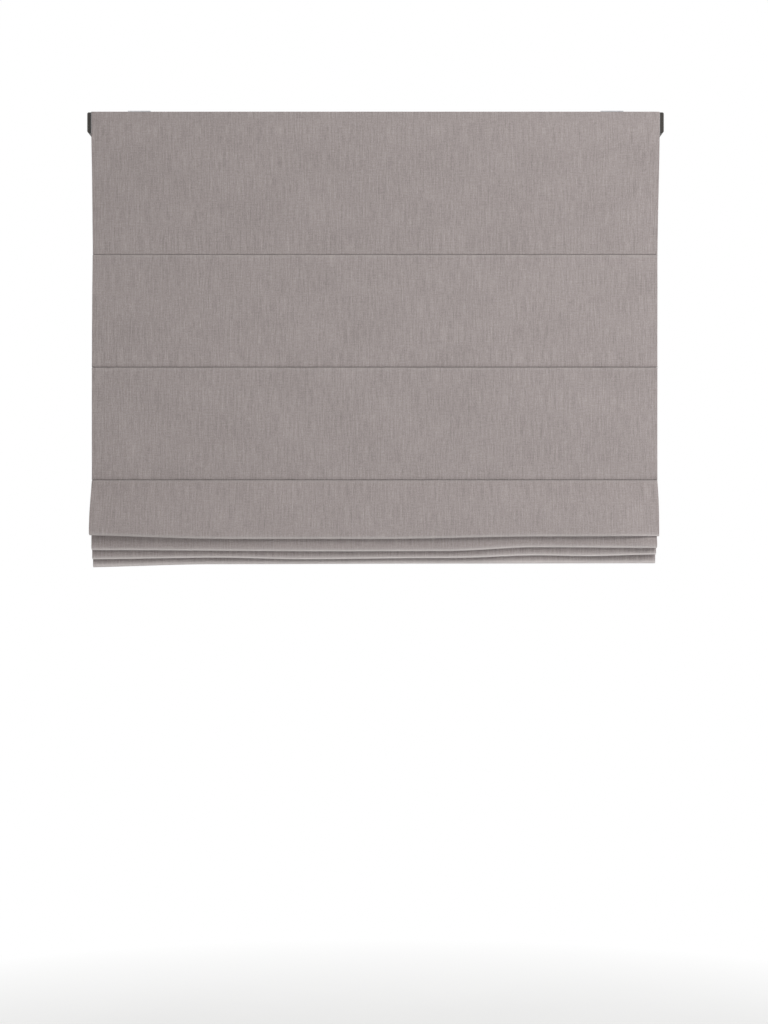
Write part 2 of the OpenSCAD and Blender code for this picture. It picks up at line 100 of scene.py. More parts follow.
# %% Sizes of the sewn section
CLOTH_T = 1.0 * MM
LAYER_GAP = 0.2 * MM
TOP_HEM = 28 * MM
LIP_R = 1.0 * MM
STITCH_TO_ROD = 4.2 * MM
FOLD_REACH = (20 * MM, 10.5 * MM, 3 * MM)
FOLD_R = (3.5 * MM, 3.0 * MM, 2.5 * MM)
FOLD_LEAN = 6 * MM
LEAN_DROP = 12 * MM
STRAIGHT_DROP = 28 * MM
HEM_BACK = 3 * MM
ROD_PLAY = 0.3 * MM
BAR_PLAY = 0.3 * MM
POCKET_TOP = 6 * MM
SIDE_HEM = 28 * MM

half_seam = (CLOTH_T + LAYER_GAP) / 2
over_r = LIP_R + 2 * half_seam
rib_y = rod_y - STITCH_TO_ROD - LIP_R
tip_low, tip_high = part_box("rod_tips_1")
loop_r = (tip_high.z - tip_low.z) / 2 + ROD_PLAY + CLOTH_T / 2
tuck_lift = math.degrees(math.asin(loop_r / math.hypot(STITCH_TO_ROD, half_seam))
                         - math.atan2(half_seam, STITCH_TO_ROD))
turned_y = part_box("loop_tape")[0].y - CLOTH_T / 2
front_y = turned_y - 2 * half_seam
bar_low, bar_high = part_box("bottom_bar")
panel_h = rod_z[0] - rod_z[1]
print("pocket radius", round(loop_r / MM, 2), "mm; cloth front at", round(front_y / MM, 1), "mm")

# %% [markdown]
# ## Camera
# The photograph is taken level, from straight in front, and the blind fills the upper half of the frame.
# One pixel is 1.583 mm at the cloth on the headrail, and the way the sheet narrows towards the rods puts
# the lens about 2.9 m away. The lens follows from these two.

# %% Set the camera
FRAME_PX = (768, 1024)
PX_SIZE = 1.583 * MM
TOP_EDGE_PX = 111.5
MIDDLE_PX = 375.5
VIEW_DISTANCE = 2.9
SENSOR = 36.0


def add_object(name, data):
    made = bpy.data.objects.new(name, data)
    bpy.context.scene.collection.objects.link(made)
    return made


camera_data = bpy.data.cameras.new("front_camera")
camera_data.sensor_width = SENSOR
camera_data.lens = SENSOR * VIEW_DISTANCE / (FRAME_PX[1] * PX_SIZE)
camera = add_object("front_camera", camera_data)
camera.location = (
    (FRAME_PX[0] / 2 - MIDDLE_PX) * PX_SIZE,
    front_y - CLOTH_T / 2 - VIEW_DISTANCE,
    rail_top - (FRAME_PX[1] / 2 - TOP_EDGE_PX) * PX_SIZE,
)
camera.rotation_euler = (math.radians(90), 0, 0)
bpy.context.scene.camera = camera
print("lens", round(camera_data.lens, 1), "mm")

# %% [markdown]
# ## A helper for finishes
# A finish is a small graph of nodes. These helpers add a node, set or link its inputs by name, and give
# back the node, so that a finish reads as a list of steps. A number that is the same all over the surface
# goes straight on the shader, because the export keeps it only there.

# %% Node helpers
NOISE_ROUGHNESS = 0.6


def add_node(tree, kind, inputs=None, **settings):
    made = tree.nodes.new(kind)
    for name, value in settings.items():
        setattr(made, name, value)
    for name, value in (inputs or {}).items():
        if isinstance(value, bpy.types.NodeSocket):
            tree.links.new(value, made.inputs[name])
        else:
            made.inputs[name].default_value = value
    return made


def calc(tree, operation, a, b=0.0):
    return add_node(tree, "ShaderNodeMath", {0: a, 1: b}, operation=operation).outputs[0]


def place_of(tree):
    return add_node(tree, "ShaderNodeTexCoord").outputs["Object"]


def start_finish(name, **shader_values):
    finish = bpy.data.materials.new(name)
    finish.use_nodes = True
    tree = finish.node_tree
    shader = tree.nodes["Principled BSDF"]
    for socket, value in shader_values.items():
        shader.inputs[socket.replace("_", " ")].default_value = value
    return finish, tree, shader


def stretched_noise(tree, place, grain, detail=2.0):
    scale = tuple(1 / size for size in grain)
    mapping = add_node(tree, "ShaderNodeMapping", {"Vector": place, "Scale": scale})
    noise = add_node(tree, "ShaderNodeTexNoise", {
        "Vector": mapping.outputs[0], "Scale": 1.0, "Detail": detail, "Roughness": NOISE_ROUGHNESS})
    return noise.outputs["Fac"]


def tone_ramp(tree, share, dark, light, low=0.3, high=0.7):
    ramp = add_node(tree, "ShaderNodeValToRGB", {"Fac": share})
    ramp.color_ramp.elements[0].position = low
    ramp.color_ramp.elements[0].color = (*dark, 1)
    ramp.color_ramp.elements[1].position = high
    ramp.color_ramp.elements[1].color = (*light, 1)
    return ramp.outputs["Color"]


def add_bump(tree, shader, height, depth, strength=0.6):
    bump = add_node(tree, "ShaderNodeBump", {"Height": height, "Distance": depth, "Strength": strength})
    tree.links.new(bump.outputs["Normal"], shader.inputs["Normal"])


print("finish helpers ready")

# %% [markdown]
# ## Light, background and floor
# The cloth is lit by soft daylight from the front, a little stronger from the upper right, with some
# light thrown back up from below. Area lamps give that. They are kept out of mirror images, which would
# burn the rail's top out to white. The world is white only where the camera, a gloss or a see-through
# surface looks at it, and a plain grey for all other light, so the white background doesn't light the
# cloth.

# %% World
AMBIENT = 0.33
world = bpy.data.worlds.new("studio")
world.use_nodes = True
bpy.context.scene.world = world
world_tree = world.node_tree
world_out = world_tree.nodes["World Output"]


def seen_directly(tree):
    rays = add_node(tree, "ShaderNodeLightPath").outputs
    glossy_or_clear = calc(tree, "MAXIMUM", rays["Is Glossy Ray"], rays["Is Transmission Ray"])
    return calc(tree, "MAXIMUM", rays["Is Camera Ray"], glossy_or_clear)


soft_light = world_tree.nodes["Background"]
soft_light.inputs["Color"].default_value = (1.0, 0.99, 0.98, 1)
soft_light.inputs["Strength"].default_value = AMBIENT
white_back = add_node(world_tree, "ShaderNodeBackground", {"Color": (1, 1, 1, 1), "Strength": 1.0})
world_mix = add_node(world_tree, "ShaderNodeMixShader", {
    0: seen_directly(world_tree), 1: soft_light.outputs[0], 2: white_back.outputs[0]})
world_tree.links.new(world_mix.outputs[0], world_out.inputs["Surface"])
bpy.context.scene.view_settings.view_transform = "Standard"
print("ambient", AMBIENT)

# %% Lamps
# Each lamp has a place, a size, a power in watts and a tint.
LAMPS = {
    "key": ((2.1, -2.2, 1.3), 2.0, 86.0, (1, 1, 1)),
    "fill": ((-2.2, -2.4, 0.4), 2.2, 3.0, (1, 1, 1)),
    "from_below": ((1.7, -2.4, -1.25), 1.2, 18.0, (0.90, 0.95, 1)),
    "behind": ((-0.6, 2.4, 0.9), 2.0, 40.0, (1, 1, 1)),
}
cloth_middle = Vector((0, 0, (rail_top + hem_z) / 2))
for lamp_name, (place, size, power, tint) in LAMPS.items():
    lamp_data = bpy.data.lights.new(lamp_name, "AREA")
    lamp_data.size = size
    lamp_data.energy = power
    lamp_data.color = tint
    lamp = add_object(lamp_name, lamp_data)
    lamp.visible_glossy = False
    lamp.location = place
    lamp.rotation_euler = (cloth_middle - Vector(place)).to_track_quat("-Z", "Y").to_euler()
print("lamps:", ", ".join(LAMPS))

# %% Floor
FLOOR_Z = -1.9
FLOOR_HALF = 5.0
FADE_START = 0.9
FADE_LENGTH = 1.6
FLOOR_GRAIN = (0.4, 0.4, 0.4)
FLOOR_DARK = (0.83, 0.83, 0.82)
FLOOR_LIGHT = (0.87, 0.87, 0.86)

floor_mesh = bpy.data.meshes.new("floor")
corners = [(-FLOOR_HALF, -FLOOR_HALF, FLOOR_Z), (FLOOR_HALF, -FLOOR_HALF, FLOOR_Z),
           (FLOOR_HALF, FLOOR_HALF, FLOOR_Z), (-FLOOR_HALF, FLOOR_HALF, FLOOR_Z)]
floor_mesh.from_pydata(corners, [], [(0, 1, 2, 3)])
floor = add_object("floor", floor_mesh)

floor_finish, floor_tree, floor_shader = start_finish("pale_floor", Roughness=0.9)
floor_place = place_of(floor_tree)
floor_noise = stretched_noise(floor_tree, floor_place, FLOOR_GRAIN)
floor_tone = tone_ramp(floor_tree, floor_noise, FLOOR_DARK, FLOOR_LIGHT)
floor_tree.links.new(floor_tone, floor_shader.inputs["Base Color"])
flat_place = add_node(floor_tree, "ShaderNodeMapping", {"Vector": floor_place, "Scale": (1, 1, 0)})
reach = add_node(floor_tree, "ShaderNodeVectorMath", {0: flat_place.outputs[0]}, operation="LENGTH")
fade = add_node(floor_tree, "ShaderNodeMapRange", {
    "Value": reach.outputs["Value"], "From Min": FADE_START, "From Max": FADE_START + FADE_LENGTH})
fade_seen = calc(floor_tree, "MULTIPLY", fade.outputs[0], seen_directly(floor_tree))
white_floor = add_node(floor_tree, "ShaderNodeEmission", {"Color": (1, 1, 1, 1), "Strength": 1.0})
floor_mix = add_node(floor_tree, "ShaderNodeMixShader", {
    0: fade_seen, 1: floor_shader.outputs[0], 2: white_floor.outputs[0]})
floor_tree.links.new(floor_mix.outputs[0], floor_tree.nodes["Material Output"].inputs["Surface"])
floor_mesh.materials.append(floor_finish)
print("floor at", FLOOR_Z, "m")

# %% [markdown]
# ## The cloth's section
# On the real blind one sheet runs from the turned top edge down to the bar. At each rod it dips to the
# back, goes round the rod and comes out again, and a line of stitches closes that tuck. The three lowest
# panels hang in folds. The sheet could be draped by a simulation, but a simulation won't stay in a
# stitched tuck of 3 mm. So the section is drawn as one line in the Y-Z plane, from arcs and curves, by
# the rule the CAD model uses.

# %% Arcs and curves
LOOP_STEPS = 18
LIP_STEPS = 4
EDGE_STEPS = 14
RUN_STEPS = 36


def arc(centre, radius, start, end, steps):
    turn = np.radians(np.linspace(start, end, steps + 1))
    return np.column_stack([centre[0] + radius * np.cos(turn), centre[1] + radius * np.sin(turn)])


def curve(a, b, c, d):
    u = np.linspace(0, 1, RUN_STEPS + 1)[:, None]
    a, b, c, d = (np.array(point) for point in (a, b, c, d))
    return (1 - u) ** 3 * a + 3 * (1 - u) ** 2 * u * b + 3 * (1 - u) * u ** 2 * c + u ** 3 * d


def run_length(points):
    return float(np.linalg.norm(np.diff(points, axis=0), axis=1).sum())


def layer(start, end, lean):
    lower_pull = (end[0], end[1] + (start[1] - end[1]) / 2)
    return curve(start, (start[0] - lean, start[1] - LEAN_DROP), lower_pull, end)


print("a half turn has", EDGE_STEPS, "steps")

# %% Tucks
def way_in(k):
    z = rod_z[k]
    if k < HUNG:
        return arc((rib_y + LIP_R, z + half_seam + LIP_R), LIP_R, 180, 270, LIP_STEPS)
    return arc((rib_y + LIP_R, z + half_seam - over_r), over_r, 180, 90, LIP_STEPS)


def way_out(k):
    return arc((rib_y + LIP_R, rod_z[k] - half_seam - LIP_R), LIP_R, 90, 180, LIP_STEPS)


def tuck(k):
    loop = arc((rod_y, rod_z[k]), loop_r, 90 + tuck_lift, -90 - tuck_lift, LOOP_STEPS)
    return np.vstack([way_in(k), loop, way_out(k)])


print("cloth in a tuck:", round(run_length(tuck(0)) / MM, 1), "mm")

# %% Folds
HALVINGS = 30


def fold_layers(f, low):
    k = HUNG - 1 + f
    centre = (rib_y - FOLD_REACH[f], low + FOLD_R[f] + CLOTH_T / 2)
    back_lean = FOLD_LEAN if k + 2 < ROD_COUNT else 0.0
    front = layer(way_out(k)[-1], (centre[0] - FOLD_R[f], centre[1]), FOLD_LEAN)
    edge = arc(centre, FOLD_R[f], 180, 360, EDGE_STEPS)
    back = layer(way_in(k + 1)[0], (centre[0] + FOLD_R[f], centre[1]), back_lean)[::-1]
    return np.vstack([front, edge[1:]]), back


def fold_floor(f):
    cloth = panel_h - math.pi / 2 * (LIP_R + over_r)
    low = rod_z[HUNG - 1 + f] - panel_h
    high = rod_z[HUNG + f] - 2 * FOLD_R[f] - LEAN_DROP
    for _ in range(HALVINGS):
        trial = (low + high) / 2
        if sum(run_length(part) for part in fold_layers(f, trial)) > cloth:
            low = trial
        else:
            high = trial
    return (low + high) / 2


fold_low = [fold_floor(f) for f in range(ROD_COUNT - HUNG)]
print("fold edges at", [round(low / MM, 1) for low in fold_low], "mm")

# %% The whole line, stretch by stretch
FOLD_OVER_STEPS = 8
BAND_POINTS = 9
POCKET_POINTS = 9
POCKET_BACK_POINTS = 7

hem_y = rib_y + HEM_BACK
bar_t = bar_high.y - bar_low.y
hem_r = (bar_t + CLOTH_T) / 2 + BAR_PLAY
hem_turn = (hem_y + hem_r, hem_z + CLOTH_T / 2 + hem_r)
pocket_z = bar_high.z

turn_middle = (turned_y - half_seam, rail_top - CLOTH_T / 2 - half_seam)
top_turn = arc(turn_middle, half_seam, 0, 180, FOLD_OVER_STEPS)
tape_low = np.array((front_y, rail_low))
first_rod = way_in(0)[0]
band_front = np.linspace(top_turn[-1], tape_low, BAND_POINTS)
first_pull = first_rod - (first_rod - tape_low) / 3
stretches = {
    "top_band": np.vstack([[(turned_y, rail_top - TOP_HEM)], top_turn, band_front[1:]]),
    "panel_1": curve(tape_low, tape_low - (0, STRAIGHT_DROP), first_pull, first_rod),
    "tuck_1": tuck(0),
}
for k in range(1, HUNG):
    stretches[f"panel_{k + 1}"] = np.linspace(way_out(k - 1)[-1], way_in(k)[0], RUN_STEPS + 1)
    stretches[f"tuck_{k + 1}"] = tuck(k)
for f in range(ROD_COUNT - HUNG):
    front_part, back_part = fold_layers(f, fold_low[f])
    stretches[f"fold_{f + 1}_front"] = front_part
    stretches[f"fold_{f + 1}_back"] = back_part
    stretches[f"tuck_{HUNG + f + 1}"] = tuck(HUNG + f)
pocket_top = (hem_y, pocket_z + POCKET_TOP)
hem_edge = arc(hem_turn, hem_r, 180, 360, EDGE_STEPS)
stretches["hem_panel"] = np.vstack([
    layer(way_out(ROD_COUNT - 1)[-1], pocket_top, 0.0),
    np.linspace(pocket_top, hem_edge[0], POCKET_POINTS)[1:],
    hem_edge[1:],
    np.linspace(hem_edge[-1], (hem_y + 2 * hem_r, pocket_z), POCKET_BACK_POINTS)[1:],
    [(hem_y + 2 * half_seam, pocket_z + POCKET_TOP)],
])
cloth_length = sum(run_length(points) for points in stretches.values())
print(len(stretches), "stretches,", round(cloth_length, 3), "m of cloth")

# %% [markdown]
# ## From a line to a sheet
# A cloth that only follows the section looks like bent metal. The real one gives a little everywhere: the
# edges of the folds rise and dip by a few millimetres, the panels swell between the rods, the cloth
# puckers beside a seam, and its sides drift in and out. Each of these is a shift of the sheet that
# depends on the place across (x) and along it (s). They are worked out for the whole sheet at once, so
# that the pieces it is cut into meet without a step.

# %% Rows of the sheet
row_points = []
row_of = {}
for name, points in stretches.items():
    first = max(len(row_points) - 1, 0)
    row_points.extend(points if not row_points else points[1:])
    row_of[name] = (first, len(row_points) - 1)
rows = np.array(row_points)
steps = np.linalg.norm(np.diff(rows, axis=0), axis=1)
along = np.concatenate([[0], np.cumsum(steps)])
slope = np.gradient(rows, along, axis=0)
slope /= np.linalg.norm(slope, axis=1)[:, None]
outward = np.column_stack([slope[:, 1], -slope[:, 0]])
for k in range(1, HUNG + 1):
    outward[list(row_of[f"panel_{k}"])] = (-1, 0)
print("rows:", len(rows))

# %% Columns of the sheet
COLUMN_STEP = 3.2 * MM
EDGE_ROUND = 0.45 * MM
HEM_STEP = 0.05 * MM
BORDER_COLUMNS = 10

hem_line = half_w - SIDE_HEM
inner = np.linspace(-hem_line, hem_line, round(2 * hem_line / COLUMN_STEP))
border = np.linspace(hem_line + HEM_STEP, half_w - EDGE_ROUND, BORDER_COLUMNS)
columns = np.concatenate([-border[::-1], inner, border])
in_side_hem = np.abs(columns) > hem_line + HEM_STEP / 2
print("columns:", len(columns), "of which in the side hems:", int(in_side_hem.sum()))

# %% Weights along the sheet
HUNG_RAMP = 60 * MM
FLAT_RAMP = 8 * MM
FOLD_FLAT = 0.12


def smooth(t):
    t = np.clip(t, 0, 1)
    return t * t * (3 - 2 * t)


def span(name):
    first, last = row_of[name]
    return along[first], along[last]


def inside(name, ramp):
    start, end = span(name)
    return smooth((along - start) / ramp) * smooth((end - along) / ramp)


def fold_weight(f):
    start, end = span(f"fold_{f + 1}_front")
    edge = end - math.pi * FOLD_R[f]
    back_start, back_end = span(f"fold_{f + 1}_back")
    return smooth((along - start) / (edge - start)) * smooth((back_end - along) / (back_end - back_start))


panels = [f"panel_{k}" for k in range(1, HUNG + 1)]
fold_weights = [fold_weight(f) for f in range(ROD_COUNT - HUNG)]
hem_start = span("hem_panel")[0]
pocket_share = (pocket_top[1] - rows[:, 1]) / (pocket_top[1] - hem_z)
hem_weight = smooth(pocket_share) * (along >= hem_start)
hung_weight = sum(inside(name, HUNG_RAMP) for name in panels)
flat_weight = sum(inside(name, FLAT_RAMP) for name in panels + ["hem_panel"])
flat_weight = flat_weight + sum(smooth(weight / FOLD_FLAT) for weight in fold_weights)
print("fold weights peak at", [round(float(weight.max()), 2) for weight in fold_weights])

# %% Shape of the lower edges
EDGE_CRESTS_MM = {
    "fold_1": ((-520, 4.5), (-220, -2.5), (0, -2.5), (270, 1.5), (450, 2)),
    "fold_2": ((-450, -4), (-50, -6), (110, -5.5), (260, 0.5), (450, -0.5)),
    "fold_3": ((-450, -3.5), (-250, -1), (-120, -3.5), (120, -1.5), (260, 2.5), (340, 1.5), (450, 4)),
    "hem": ((-500, -7), (-250, -1.5), (100, -0.5), (450, 0)),
}


def ease_through(crests, x):
    places, heights = np.array(crests, dtype=float).T
    i = np.clip(np.searchsorted(places * MM, x) - 1, 0, len(places) - 2)
    share = smooth((x / MM - places[i]) / (places[i + 1] - places[i]))
    return heights[i] + (heights[i + 1] - heights[i]) * share


edge_lift = {name: ease_through(crests, columns) * MM for name, crests in EDGE_CRESTS_MM.items()}
print("the first fold's edge lies between", round(edge_lift["fold_1"].min() / MM, 1),
      "and", round(edge_lift["fold_1"].max() / MM, 1), "mm of level")

# %% How open the upper two folds are
LOOP_OPEN = ((-480, 2.0), (-150, 0.9), (450, 0.95))
LOOP_RAMP = 80 * MM
PINCH = 0.75
FLARE = 4.2 * MM
FLARE_RAMP = 24 * MM
END_START = 385 * MM
END_FULL = 440 * MM


def loop_weight(f, ramp):
    end = span(f"fold_{f + 1}_front")[1]
    edge = end - math.pi * FOLD_R[f]
    from_back = (rib_y - FOLD_REACH[f] + FOLD_R[f] - rows[:, 0]) / (2 * FOLD_R[f])
    on_layer = smooth((along - edge + ramp) / ramp)
    return (np.where(along < edge, on_layer, np.clip(from_back, 0, 1)) * (along <= end))[:, None]


right_end = smooth((columns - END_START) / (END_FULL - END_START))
loop_open = ease_through(LOOP_OPEN, columns) * (1 - PINCH * right_end)
forward = loop_weight(0, LOOP_RAMP) * 2 * FOLD_R[0] * (loop_open - 1)
forward += loop_weight(1, FLARE_RAMP) * FLARE * right_end
print("the first fold is", round(2 * FOLD_R[0] * loop_open[0] / MM, 1), "mm deep at the left and",
      round(2 * FOLD_R[0] * loop_open[-1] / MM, 1), "mm at the right")

# %% Soft swelling and puckers
WAVE_SEED = 7
WAVES = 7
WAVE_RANGE = (0.4, 1.6)
SWELL = 0.9 * MM
SWELL_WAVE = 0.30
FOLD_SWELL = 1.3 * MM
FOLD_WAVE = 0.26
PUCKER = 0.22 * MM
PUCKER_PITCH = 17 * MM
PUCKER_REACH = 9 * MM
PUCKER_STRAY = 2.2
PUCKER_WAVE = 0.12
rng = np.random.default_rng(WAVE_SEED)


def soft_waves(x, s, longest):
    total = np.zeros(np.broadcast(x, s).shape)
    for _ in range(WAVES):
        across, down = rng.uniform(*WAVE_RANGE, 2) * 2 * math.pi / longest
        phase_x, phase_s = rng.uniform(0, 2 * math.pi, 2)
        total += np.sin(across * x + phase_x) * np.sin(down * s + phase_s)
    return total / math.sqrt(WAVES)


x_grid = columns[None, :]
s_grid = along[:, None]
swell = SWELL * soft_waves(x_grid, s_grid, SWELL_WAVE) * hung_weight[:, None]
any_fold = np.maximum.reduce(fold_weights)[:, None]
forward += FOLD_SWELL * soft_waves(x_grid, 0 * s_grid, FOLD_WAVE) * any_fold
pucker_stray = PUCKER_STRAY * soft_waves(x_grid, 0 * s_grid, PUCKER_WAVE)
pucker_phase = 2 * math.pi * x_grid / PUCKER_PITCH + pucker_stray
pucker = np.zeros((len(along), len(columns)))
lift = np.zeros((len(along), len(columns)))
for k in range(ROD_COUNT):
    start, end = span(f"tuck_{k + 1}")
    away = np.maximum(start - along, along - end) / PUCKER_REACH
    beside = np.where(away > 0, away * np.exp(1 - away), 0)[:, None]
    pucker += PUCKER * beside * np.sin(pucker_phase + k)
for weight, name in zip(fold_weights + [hem_weight], edge_lift):
    lift += weight[:, None] * edge_lift[name][None, :]
print("largest lift of the sheet", round(float(np.abs(lift).max()) / MM, 1), "mm")

# %% Drift of the sides
NARROW_LEFT = 1.4 * MM
NARROW_RIGHT = 3.1 * MM
NARROW_RUN = 100 * MM
SPREAD = 3 * MM

narrowed = smooth((along - span("fold_1_back")[0]) / NARROW_RUN)[:, None]
spread_from, spread_to = span("panel_1")[0], span("panel_2")[1]
spread_share = smooth((along - spread_from) / (spread_to - spread_from))[:, None]
to_left = np.clip(-x_grid / half_w, 0, 1)
to_right = np.clip(x_grid / half_w, 0, 1)
drift = narrowed * (NARROW_LEFT * to_left - NARROW_RIGHT * to_right)
drift = drift - SPREAD * spread_share * smooth(to_left)
print("the sides drift by", round(drift.min() / MM, 1), "to", round(drift.max() / MM, 1), "mm")

# %% [markdown]
# ## Cutting the sheet into pieces that can move
# The blind is raised by pulling the rods up, so the cloth has to follow: a hung panel gathers and a fold
# opens. One mesh can follow two bodies at most, so the sheet is cut at the tucks and at the folds' lower
# edges, where a joint in the mesh doesn't show. Each piece is a closed shell with the cloth's thickness,
# and at its sides the cloth is turned to the back in a hem, which makes the shell twice as thick there.

# %% Front, back and side edges of the sheet
side_hem_weight = np.clip(flat_weight, 0, 1)[:, None] * in_side_hem[None, :]
bulge = swell + pucker


def place_rows(offset):
    x = x_grid + drift
    y = rows[:, 0, None] + outward[:, 0, None] * (offset + bulge) - forward
    z = rows[:, 1, None] + outward[:, 1, None] * (offset + bulge) + lift
    return np.stack([x, y, z], axis=2)


front_side = place_rows(CLOTH_T / 2)
back_side = place_rows(-CLOTH_T / 2 - side_hem_weight * 2 * half_seam)
left_edge = (front_side[:, 0] + back_side[:, 0]) / 2
right_edge = (front_side[:, -1] + back_side[:, -1]) / 2
left_edge[:, 0] -= EDGE_ROUND
right_edge[:, 0] += EDGE_ROUND
print("sheet has", front_side.shape[0], "rows and", front_side.shape[1], "columns on each side")

# %% Painted highlight and painted shade for the finish
HIGHLIGHT_REACH = 1.0 * MM
HIGHLIGHT_AMOUNT = (0.5, 0.8, 1.0)
HIGHLIGHT_AT = 0.76
HIGHLIGHT_GROWTH = 0.25
HEM_HIGHLIGHT = 0.7
HEM_HIGHLIGHT_REACH = 3.6 * MM
UPPER_LIP_SHADE = 3.0 * MM
LOWER_LIP_SHADE = 0.8 * MM
LOWER_LIP_HIGHLIGHT_REACH = 2.5 * MM
LOWER_LIP_HIGHLIGHT = 0.06
NECK = 2.5 * MM
SEAM_SHADE = (0.0, 0.8, 1.0, 1.0, 1.0, 1.0)


def highlight_band(middle_s, reach, amount):
    return amount * np.exp(-((along - middle_s) / reach) ** 2)


# Painted highlight: a pale band is painted on the cloth along the hem's lower edge, along the lower edge
# of each fold and on the lip just below each hung seam, where light catches the cloth.
to_hem_edge = stretches["hem_panel"][:RUN_STEPS + POCKET_POINTS + EDGE_STEPS // 4]
painted_highlight = highlight_band(hem_start + run_length(to_hem_edge), HEM_HIGHLIGHT_REACH, HEM_HIGHLIGHT)
for f, amount in enumerate(HIGHLIGHT_AMOUNT):
    edge_middle = span(f"fold_{f + 1}_front")[1] - math.pi * FOLD_R[f] * HIGHLIGHT_AT
    painted_highlight = np.maximum(painted_highlight, highlight_band(edge_middle, HIGHLIGHT_REACH + FOLD_R[f] * HIGHLIGHT_GROWTH, amount))
# Painted shade: the cloth is darkened on the lips and neck of each tuck, where shade falls into the seam,
# by SEAM_SHADE for each seam.
sewn = np.zeros(len(along))
for k in range(ROD_COUNT):
    start, end = span(f"tuck_{k + 1}")
    past_upper = along - start - math.pi / 2 * LIP_R
    past_lower = end - along - math.pi / 2 * LIP_R
    on_lips = smooth(1 + past_upper / UPPER_LIP_SHADE) * smooth(1 + past_lower / LOWER_LIP_SHADE)
    shade_here = on_lips * smooth(1 - np.minimum(past_upper, past_lower) / NECK)
    sewn = np.maximum(sewn, SEAM_SHADE[k] * shade_here)
    if k < HUNG:
        painted_highlight = np.maximum(painted_highlight, highlight_band(end, LOWER_LIP_HIGHLIGHT_REACH, LOWER_LIP_HIGHLIGHT))
print("pressed rows:", int((painted_highlight > 0.5).sum()), "sewn rows:", int((sewn > 0).sum()))

# %% Faces of a closed shell
def strip_faces(a, b):
    return np.stack([a[:-1], b[:-1], b[1:], a[1:]], axis=-1).reshape(-1, 4)


def shell_faces(front, back, left, right):
    faces = [strip_faces(front[i], front[i + 1]) for i in range(len(front) - 1)]
    faces += [strip_faces(back[i + 1], back[i]) for i in range(len(back) - 1)]
    faces += [strip_faces(left, front[:, 0])[:, ::-1], strip_faces(back[:, 0], left)[:, ::-1]]
    faces += [strip_faces(front[:, -1], right)[:, ::-1], strip_faces(right, back[:, -1])[:, ::-1]]
    faces += [strip_faces(back[0], front[0]), strip_faces(front[-1], back[-1])]
    ends = []
    for i, flip in ((0, 1), (-1, -1)):
        ends.append([front[i, 0], left[i], back[i, 0]][::flip])
        ends.append([back[i, -1], right[i], front[i, -1]][::flip])
    return np.concatenate(faces).tolist() + [[int(v) for v in end] for end in ends]


two_by_two = np.arange(4).reshape(2, 2)
print("faces of the smallest shell:",
      len(shell_faces(two_by_two, two_by_two + 4, np.array([8, 9]), np.array([10, 11]))))

# %% Map and marks of a shell
def on_all_points(values, part):
    return np.concatenate([np.repeat(values[part], len(columns))] * 2 + [values[part]] * 2)


def map_shell(mesh, part):
    count = part.stop - part.start
    edges = [np.full(count, -half_w), np.full(count, half_w)]
    across = np.concatenate([np.tile(columns, 2 * count)] + edges)
    corner_vertex = np.empty(len(mesh.loops), dtype=np.int32)
    mesh.loops.foreach_get("vertex_index", corner_vertex)
    flat_map = mesh.uv_layers.new(name="cloth_map")
    flat_places = np.column_stack([across, on_all_points(along, part)])[corner_vertex]
    flat_map.data.foreach_set("uv", flat_places.ravel().astype(np.float32))


def mark_shell(mesh, part):
    for mark_name, values in (("painted_highlight", painted_highlight), ("sewn", sewn)):
        mark = mesh.attributes.new(mark_name, "FLOAT", "POINT")
        mark.data.foreach_set("value", on_all_points(values, part).astype(np.float32))


print("the map is", round(float(along[-1]) / MM), "mm long")

# %% Build a closed shell from some of the rows
CUT = 0.02 * MM
CREASE_ANGLE = 55


def make_shell(name, finish):
    first, last = row_of[name]
    part = slice(first, last + 1)
    count = last - first + 1
    width = len(columns)
    front = np.arange(count * width).reshape(count, width)
    back = front + count * width
    left = 2 * count * width + np.arange(count)
    right = left + count
    places = np.concatenate([front_side[part].reshape(-1, 3), back_side[part].reshape(-1, 3),
                             left_edge[part], right_edge[part]])
    if name in panels:
        places[np.concatenate([front[0], back[0], [left[0], right[0]]]), 2] -= CUT
        places[np.concatenate([front[-1], back[-1], [left[-1], right[-1]]]), 2] += CUT
    mesh = bpy.data.meshes.new(name)
    mesh.from_pydata(places.tolist(), [], shell_faces(front, back, left, right))
    map_shell(mesh, part)
    mark_shell(mesh, part)
    mesh.shade_smooth()
    mesh.set_sharp_from_angle(angle=math.radians(CREASE_ANGLE))
    mesh.materials.append(finish)
    mesh.validate()
    return add_object(name, mesh)


print("shell builder ready")

# %% [markdown]
# ## The cloth's finish
# The cloth is a matte taupe weave. Upright slub threads, thicker here and thinner there, give it fine
# vertical streaks, and weaker threads cross them. A picture of cloth could be laid on the sheet, but it
# would repeat. So noise is stretched along the sheet's own map, which is in metres, and a plain weave of
# sines lies under it.

# %% Threads of the taupe cloth
# Each kind of thread has a grain across and along the sheet, a fineness and a share of the tone.
THREADS = {
    "slub": ((2.2 * MM, 42 * MM, 1), 3.0, 0.30),
    "warp": ((1.1 * MM, 13 * MM, 1), 2.0, 0.22),
    "weft": ((16 * MM, 1.5 * MM, 1), 2.0, 0.16),
    "fleck": ((2.0 * MM, 2.4 * MM, 1), 2.0, 0.24),
    "cloud": ((90 * MM, 70 * MM, 1), 2.0, 0.08),
}
THREAD_PITCH = 0.85 * MM

